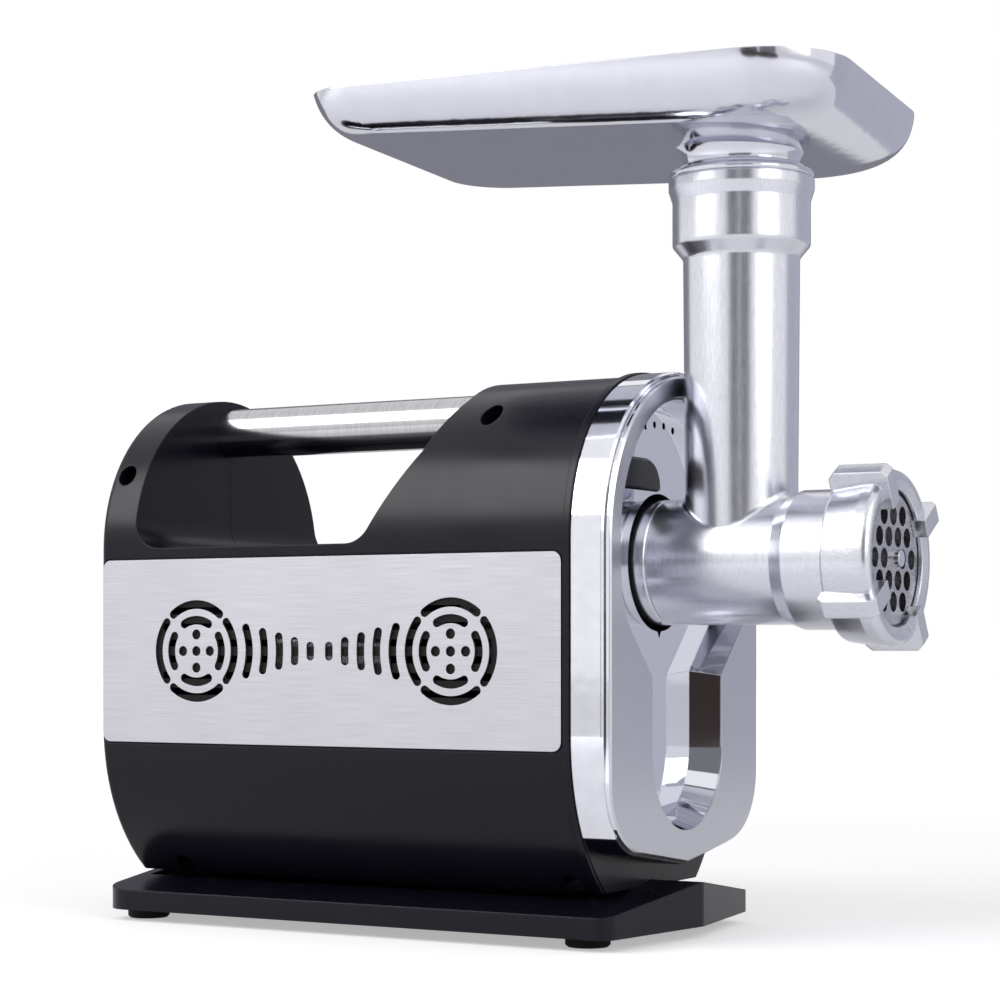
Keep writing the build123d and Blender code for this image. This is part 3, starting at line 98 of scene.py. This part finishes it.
# common to them: slow clouds in the shine, and how much of the joint's half width is fully dark
plasticSet = {"cloud": 50, "shineSpread": 0.05, "index": 1.5, "seamCore": 0.6, "seamColor": "#010101"}


def plasticMaterial(look):
    material, tree = newMaterial(look["name"])
    place = millimetres(tree)
    grain = addNode(tree, "ShaderNodeTexNoise", Vector=place, Scale=1 / look["grain"], Detail=2.0)
    cloud = addNode(tree, "ShaderNodeTexNoise", Vector=place, Scale=1 / plasticSet["cloud"], Detail=3.0)
    shine = addNode(tree, "ShaderNodeMapRange", Value=cloud.outputs["Fac"], From_Min=surfaceSet["noiseLow"],
                    From_Max=surfaceSet["noiseHigh"], To_Min=look["roughness"] - plasticSet["shineSpread"],
                    To_Max=look["roughness"] + plasticSet["shineSpread"])
    bump = addNode(tree, "ShaderNodeBump", Height=grain.outputs["Fac"], Strength=look["bump"],
                   Distance=surfaceSet["grainDepth"], Normal=softEdge(tree, look["edge"]))
    shader = addNode(tree, "ShaderNodeBsdfPrincipled", IOR=plasticSet["index"], Roughness=shine.outputs[0],
                     Normal=bump.outputs[0], Specular_IOR_Level=look["specular"],
                     Base_Color=hexColor(look["color"]))
    if look["seam"]:
        across = addNode(tree, "ShaderNodeSeparateXYZ", Vector=place)
        off = addNode(tree, "ShaderNodeMath", {"operation": "ABSOLUTE"}, _0=across.outputs[1])
        joint = addNode(tree, "ShaderNodeMapRange", Value=off.outputs[0],
                        From_Min=look["seam"] * plasticSet["seamCore"], From_Max=look["seam"])
        tint = mixColors(tree, joint, plasticSet["seamColor"], look["color"])
        tree.links.new(tint, shader.inputs["Base Color"])
        groove = addNode(tree, "ShaderNodeBump", Height=joint.outputs[0], Strength=1.0,
                         Distance=surfaceSet["seamDepth"], Normal=bump.outputs[0])
        tree.links.new(groove.outputs[0], shader.inputs["Normal"])
    addNode(tree, "ShaderNodeOutputMaterial", Surface=shader.outputs[0])
    return material


dress(plasticMaterial(housingLook), "housing_left", "housing_right", "rear_panel", "front_frame",
      "bottom_cover", "handle_plug_front", "handle_plug_rear")
dress(plasticMaterial(switchLook), "switch_frame", "switch_rocker", "cord_gland", "lock_button")
dress(plasticMaterial(socketLook), "head_socket", "vent_screen_left", "vent_screen_right", "motor_fan",
      "brush_holders")
dress(plasticMaterial(footLook), "foot_front_left", "foot_front_right", "foot_rear_left", "foot_rear_right")
print("plastics done")

# stainless sheet brushed lengthwise: long hair-fine lines that spread the light across them
plateLook = {"name": "brushedStainlessSheet", "dark": "#bcbac2", "light": "#cecdd3", "roughness": 0.34,
             "spread": 0.18, "stretch": (0.012, 1, 1), "line": 0.3, "bump": 0.15, "wave": 70, "waves": 0.0,
             "edge": 0.2}
# stainless tube, satin ground round its girth
tubeLook = {"name": "satinStainlessTube", "dark": "#b2b2b5", "light": "#c8c8cb", "roughness": 0.17,
            "spread": 0.15, "stretch": (1, 0.04, 0.04), "line": 0.5, "bump": 0.15, "wave": 50, "waves": 0.0,
            "edge": 0.2}
# bright chromium plate: a mirror with the faint orange peel of the moulding under it
chromeLook = {"name": "brightChromium", "dark": "#e3e4ec", "light": "#ebecf3", "roughness": 0.045,
              "spread": 0.3, "stretch": (1, 1, 1), "line": 6, "bump": 0.0, "wave": 22, "waves": 0.03,
              "edge": 0.6}
# die-cast aluminium, buffed to satin: soft upright streaks, and slow waves from the wheel
headLook = {"name": "buffedDieCastAluminium", "dark": "#d2d3db", "light": "#dfe0e8", "roughness": 0.23,
            "spread": 0.12, "stretch": (1, 1, 0.12), "line": 0.5, "bump": 0.03, "wave": 18, "waves": 0.03,
            "edge": 0.9}
# the ring nut's casting, tumbled: a touch greyer, with its streaks along the axis
nutLook = {"name": "tumbledDieCastAluminium", "dark": "#cdced6", "light": "#dcdde5", "roughness": 0.24,
           "spread": 0.12, "stretch": (0.15, 1, 1), "line": 0.5, "bump": 0.04, "wave": 14, "waves": 0.03,
           "edge": 0.9}
# pressed and polished aluminium sheet: nearly a mirror, gently uneven
trayLook = {"name": "polishedAluminiumSheet", "dark": "#d6d7e1", "light": "#dadbe4", "roughness": 0.11,
            "spread": 0.1, "stretch": (1, 1, 1), "line": 8.0, "bump": 0.0, "wave": 60, "waves": 0.02,
            "edge": 0.8}
# steel off the surface grinder: short straight lines
groundLook = {"name": "groundToolSteel", "dark": "#a9a9ae", "light": "#c9c9ce", "roughness": 0.26,
              "spread": 0.3, "stretch": (1, 0.08, 1), "line": 0.35, "bump": 0.12, "wave": 30, "waves": 0.0,
              "edge": 0.3}
# enamelled wire and commutator copper: warm and finely ribbed
copperLook = {"name": "enamelledCopper", "dark": "#8a4a2c", "light": "#c07a4c", "roughness": 0.3,
              "spread": 0.3, "stretch": (0.1, 1, 1), "line": 0.6, "bump": 0.3, "wave": 30, "waves": 0.0,
              "edge": 0.2}


def metalMaterial(look):
    material, tree = newMaterial(look["name"])
    lines = addNode(tree, "ShaderNodeTexNoise", Vector=millimetres(tree, look["stretch"]),
                    Scale=1 / look["line"], Detail=3.0)
    tone = addNode(tree, "ShaderNodeMapRange", Value=lines.outputs["Fac"], From_Min=surfaceSet["noiseLow"],
                   From_Max=surfaceSet["noiseHigh"])
    cloud = addNode(tree, "ShaderNodeTexNoise", Vector=millimetres(tree), Scale=1 / look["wave"], Detail=2.0)
    haze = addNode(tree, "ShaderNodeMath", {"operation": "ADD"}, _0=lines.outputs["Fac"],
                   _1=cloud.outputs["Fac"])
    shine = addNode(tree, "ShaderNodeMapRange", Value=haze.outputs[0], From_Min=2 * surfaceSet["noiseLow"],
                    From_Max=2 * surfaceSet["noiseHigh"], To_Min=look["roughness"] * (1 - look["spread"]),
                    To_Max=look["roughness"] * (1 + look["spread"]))
    waves = addNode(tree, "ShaderNodeBump", Height=cloud.outputs["Fac"], Strength=look["waves"],
                    Distance=surfaceSet["waveDepth"], Normal=softEdge(tree, look["edge"]))
    bump = addNode(tree, "ShaderNodeBump", Height=lines.outputs["Fac"], Strength=look["bump"],
                   Distance=surfaceSet["lineDepth"], Normal=waves.outputs[0])
    shader = addNode(tree, "ShaderNodeBsdfPrincipled", Metallic=1.0, Roughness=shine.outputs[0],
                     Base_Color=mixColors(tree, tone, look["dark"], look["light"]), Normal=bump.outputs[0])
    addNode(tree, "ShaderNodeOutputMaterial", Surface=shader.outputs[0])
    return material


dress(metalMaterial(plateLook), "side_plate_left", "side_plate_right")
dress(metalMaterial(tubeLook), "handle_tube")
dress(metalMaterial(chromeLook), "bezel")
dress(metalMaterial(headLook), "grinder_head", "auger", "gearbox_case", "gearbox_cover")
dress(metalMaterial(nutLook), "ring_nut")
dress(metalMaterial(trayLook), "feed_tray")
dress(metalMaterial(groundLook), "knife", "perforated_plate", "housing_screws", "motor_bolts", "first_arbor",
      "second_arbor", "output_shaft", "motor_stator", "motor_rotor", "motor_rear_bracket")
dress(metalMaterial(copperLook), "field_coils", "commutator")
print("metals done")

# chromed front moulding: the flat face, which lies at faceX, is satin down to satinTo behind it; from
# brightFrom behind it the recess and its floor are left mirror bright
faceLook = {"name": "satinAndBrightChromium", "satin": "#cbccd4", "bright": "#e4e5ec", "satinRoughness": 0.24,
            "satinSpread": 0.15, "brightRoughness": 0.035, "faceX": 134.0, "brightFrom": 0.9, "satinTo": 0.6,
            "edge": 0.5, "wave": 45, "waves": 0.03}


def faceMaterial(look):
    material, tree = newMaterial(look["name"])
    place = millimetres(tree)
    along = addNode(tree, "ShaderNodeSeparateXYZ", Vector=place)
    front = addNode(tree, "ShaderNodeMapRange", Value=along.outputs[0],
                    From_Min=look["faceX"] - look["brightFrom"], From_Max=look["faceX"] - look["satinTo"])
    cloud = addNode(tree, "ShaderNodeTexNoise", Vector=place, Scale=1 / look["wave"], Detail=3.0)
    satin = addNode(tree, "ShaderNodeMapRange", Value=cloud.outputs["Fac"], From_Min=surfaceSet["noiseLow"],
                    From_Max=surfaceSet["noiseHigh"],
                    To_Min=look["satinRoughness"] * (1 - look["satinSpread"]),
                    To_Max=look["satinRoughness"] * (1 + look["satinSpread"]))
    shine = addNode(tree, "ShaderNodeMix", {"data_type": "FLOAT"}, Factor=front.outputs[0],
                    _2=look["brightRoughness"], _3=satin.outputs[0])
    waves = addNode(tree, "ShaderNodeBump", Height=cloud.outputs["Fac"], Strength=look["waves"],
                    Distance=surfaceSet["waveDepth"], Normal=softEdge(tree, look["edge"]))
    shader = addNode(tree, "ShaderNodeBsdfPrincipled", Metallic=1.0, Roughness=shine.outputs[0],
                     Base_Color=mixColors(tree, front, look["bright"], look["satin"]),
                     Normal=waves.outputs[0])
    addNode(tree, "ShaderNodeOutputMaterial", Surface=shader.outputs[0])
    return material


dress(faceMaterial(faceLook), "front_plate")
print("front done")

# studio: white paper under a white surround, with flags that give the bright metal its dark and grey bands;
# mirrored is the share of the paper's glow that reflections see
floorSet = {"size": 14.0, "color": "#e2e2e4", "nearGlow": 0.42, "farGlow": 0.75, "nearRadius": 0.45,
            "farRadius": 1.6, "mirrored": 0.5}


def makeFloor():
    shape = bmesh.new()
    bmesh.ops.create_grid(shape, x_segments=1, y_segments=1, size=floorSet["size"] / 2)
    mesh = bpy.data.meshes.new("floor")
    shape.to_mesh(mesh)
    shape.free()
    floor = bpy.data.objects.new("floor", mesh)
    bpy.context.scene.collection.objects.link(floor)
    material, tree = newMaterial("whitePaper")
    paper = addNode(tree, "ShaderNodeBsdfDiffuse", Color=hexColor(floorSet["color"]))
    place = addNode(tree, "ShaderNodeTexCoord")
    away = addNode(tree, "ShaderNodeVectorMath", {"operation": "LENGTH"}, _0=place.outputs["Object"])
    glow = addNode(tree, "ShaderNodeMapRange", {"interpolation_type": "SMOOTHSTEP"},
                   Value=away.outputs["Value"], From_Min=floorSet["nearRadius"],
                   From_Max=floorSet["farRadius"], To_Min=floorSet["nearGlow"], To_Max=floorSet["farGlow"])
    path = addNode(tree, "ShaderNodeLightPath")
    seen = addNode(tree, "ShaderNodeMath", {"operation": "MAXIMUM"}, _0=path.outputs["Is Camera Ray"],
                   _1=path.outputs["Is Transmission Ray"])
    seen = addNode(tree, "ShaderNodeMath", {"operation": "MULTIPLY_ADD"}, _0=path.outputs["Is Glossy Ray"],
                   _1=floorSet["mirrored"], _2=seen.outputs[0])
    strength = addNode(tree, "ShaderNodeMath", {"operation": "MULTIPLY"}, _0=seen.outputs[0],
                       _1=glow.outputs[0])
    lift = addNode(tree, "ShaderNodeEmission", Color=(1, 1, 1, 1), Strength=strength.outputs[0])
    both = addNode(tree, "ShaderNodeAddShader", _0=paper.outputs[0], _1=lift.outputs[0])
    addNode(tree, "ShaderNodeOutputMaterial", Surface=both.outputs[0])
    mesh.materials.append(material)


# background is what the camera and reflections see of the surround, ambient is the light that it gives
worldSet = {"ambient": 0.5, "background": 1.0}


def makeWorld():
    world = bpy.data.worlds.new("studioWorld")
    world.use_nodes = True
    tree = world.node_tree
    tree.nodes.clear()
    path = addNode(tree, "ShaderNodeLightPath")
    seen = addNode(tree, "ShaderNodeMath", {"operation": "MAXIMUM"}, _0=path.outputs["Is Camera Ray"],
                   _1=path.outputs["Is Transmission Ray"])
    seen = addNode(tree, "ShaderNodeMath", {"operation": "MAXIMUM"}, _0=seen.outputs[0],
                   _1=path.outputs["Is Glossy Ray"])
    ambient = addNode(tree, "ShaderNodeBackground", Color=(1, 1, 1, 1), Strength=worldSet["ambient"])
    white = addNode(tree, "ShaderNodeBackground", Color=(1, 1, 1, 1), Strength=worldSet["background"])
    mix = addNode(tree, "ShaderNodeMixShader", _0=seen.outputs[0], _1=ambient.outputs[0], _2=white.outputs[0])
    addNode(tree, "ShaderNodeOutputWorld", Surface=mix.outputs[0])
    bpy.context.scene.world = world


# a flag stands upright, faces the origin and is seen only in reflections: brown low in front, for the dark
# patch in the recess, grey above it with a slit, for the throat's double streak, and two greys behind
flagSet = {
    "lowFlag": {"direction": -64.5, "distance": 1.7, "width": 1.30, "low": 0.0, "high": 0.16,
                "color": "#3a3231"},
    "leftFlag": {"direction": -75.0, "distance": 1.7, "width": 0.54, "low": 0.16, "high": 1.25,
                 "color": "#7b7b80"},
    "rightFlag": {"direction": -54.0, "distance": 1.7, "width": 0.54, "low": 0.16, "high": 1.25,
                  "color": "#7b7b80"},
    "backFlag": {"direction": 125.0, "distance": 1.0, "width": 1.9, "low": 0.0, "high": 0.95,
                 "color": "#86868f"},
    "farFlag": {"direction": 58.0, "distance": 1.1, "width": 1.2, "low": 0.0, "high": 1.0,
                "color": "#bcbdc8"},
}


def addFlag(name, look):
    shape = bmesh.new()
    # a unit square, drawn out to the flag's width and height
    bmesh.ops.create_grid(shape, x_segments=1, y_segments=1, size=0.5)
    height = look["high"] - look["low"]
    bmesh.ops.transform(shape, verts=shape.verts, matrix=Matrix.Diagonal((look["width"], height, 1, 1)))
    turn = radians(look["direction"])
    middle = Vector((cos(turn), sin(turn), 0)) * look["distance"]
    middle.z = look["low"] + height / 2
    upright = Matrix.Rotation(turn - quarterTurn, 4, "Z") @ Matrix.Rotation(quarterTurn, 4, "X")
    bmesh.ops.transform(shape, verts=shape.verts, matrix=Matrix.Translation(middle) @ upright)
    mesh = bpy.data.meshes.new(name)
    shape.to_mesh(mesh)
    shape.free()
    flag = bpy.data.objects.new(name, mesh)
    bpy.context.scene.collection.objects.link(flag)
    flag.visible_camera = flag.visible_diffuse = flag.visible_shadow = False
    material, tree = newMaterial(name + "Cloth")
    glow = addNode(tree, "ShaderNodeEmission", Color=hexColor(look["color"]), Strength=1.0)
    addNode(tree, "ShaderNodeOutputMaterial", Surface=glow.outputs[0])
    mesh.materials.append(material)


# two softboxes: the key high on the camera's left, the fill on its right
lampSet = {
    "keySoftbox": {"place": (-0.9, -1.3, 1.2), "target": (0, 0, 0.15), "size": (1.2, 1.1), "watts": 19},
    "fillSoftbox": {"place": (1.5, -0.5, 0.9), "target": (0.1, 0, 0.15), "size": (0.8, 1.2), "watts": 7},
}


def addLamp(name, look):
    data = bpy.data.lights.new(name, "AREA")
    data.shape = "RECTANGLE"
    data.size, data.size_y = look["size"]
    data.energy = look["watts"]
    lamp = bpy.data.objects.new(name, data)
    bpy.context.scene.collection.objects.link(lamp)
    toward = Vector(look["target"]) - Vector(look["place"])
    turn = toward.to_track_quat("-Z", "Y").to_matrix().to_4x4()
    lamp.matrix_world = Matrix.Translation(look["place"]) @ turn


# a level camera, so that uprights stay upright; the shift raises the frame to the part's middle
cameraSet = {"place": (0.590, -0.9473, 0.122), "turn": 30.0, "lens": 90.2, "sensor": 36.0, "shift": 0.146,
             "farthest": 50}


def makeCamera():
    data = bpy.data.cameras.new("camera")
    data.lens = cameraSet["lens"]
    data.sensor_width = cameraSet["sensor"]
    data.shift_y = cameraSet["shift"]
    data.clip_end = cameraSet["farthest"]
    camera = bpy.data.objects.new("camera", data)
    camera.location = cameraSet["place"]
    camera.rotation_euler = (quarterTurn, 0, radians(cameraSet["turn"]))
    bpy.context.scene.collection.objects.link(camera)
    bpy.context.scene.camera = camera


makeFloor()
makeWorld()
makeCamera()
for name, look in flagSet.items():
    addFlag(name, look)
for name, look in lampSet.items():
    addLamp(name, look)
bpy.context.scene.view_settings.view_transform = "Standard"
print("studio done")
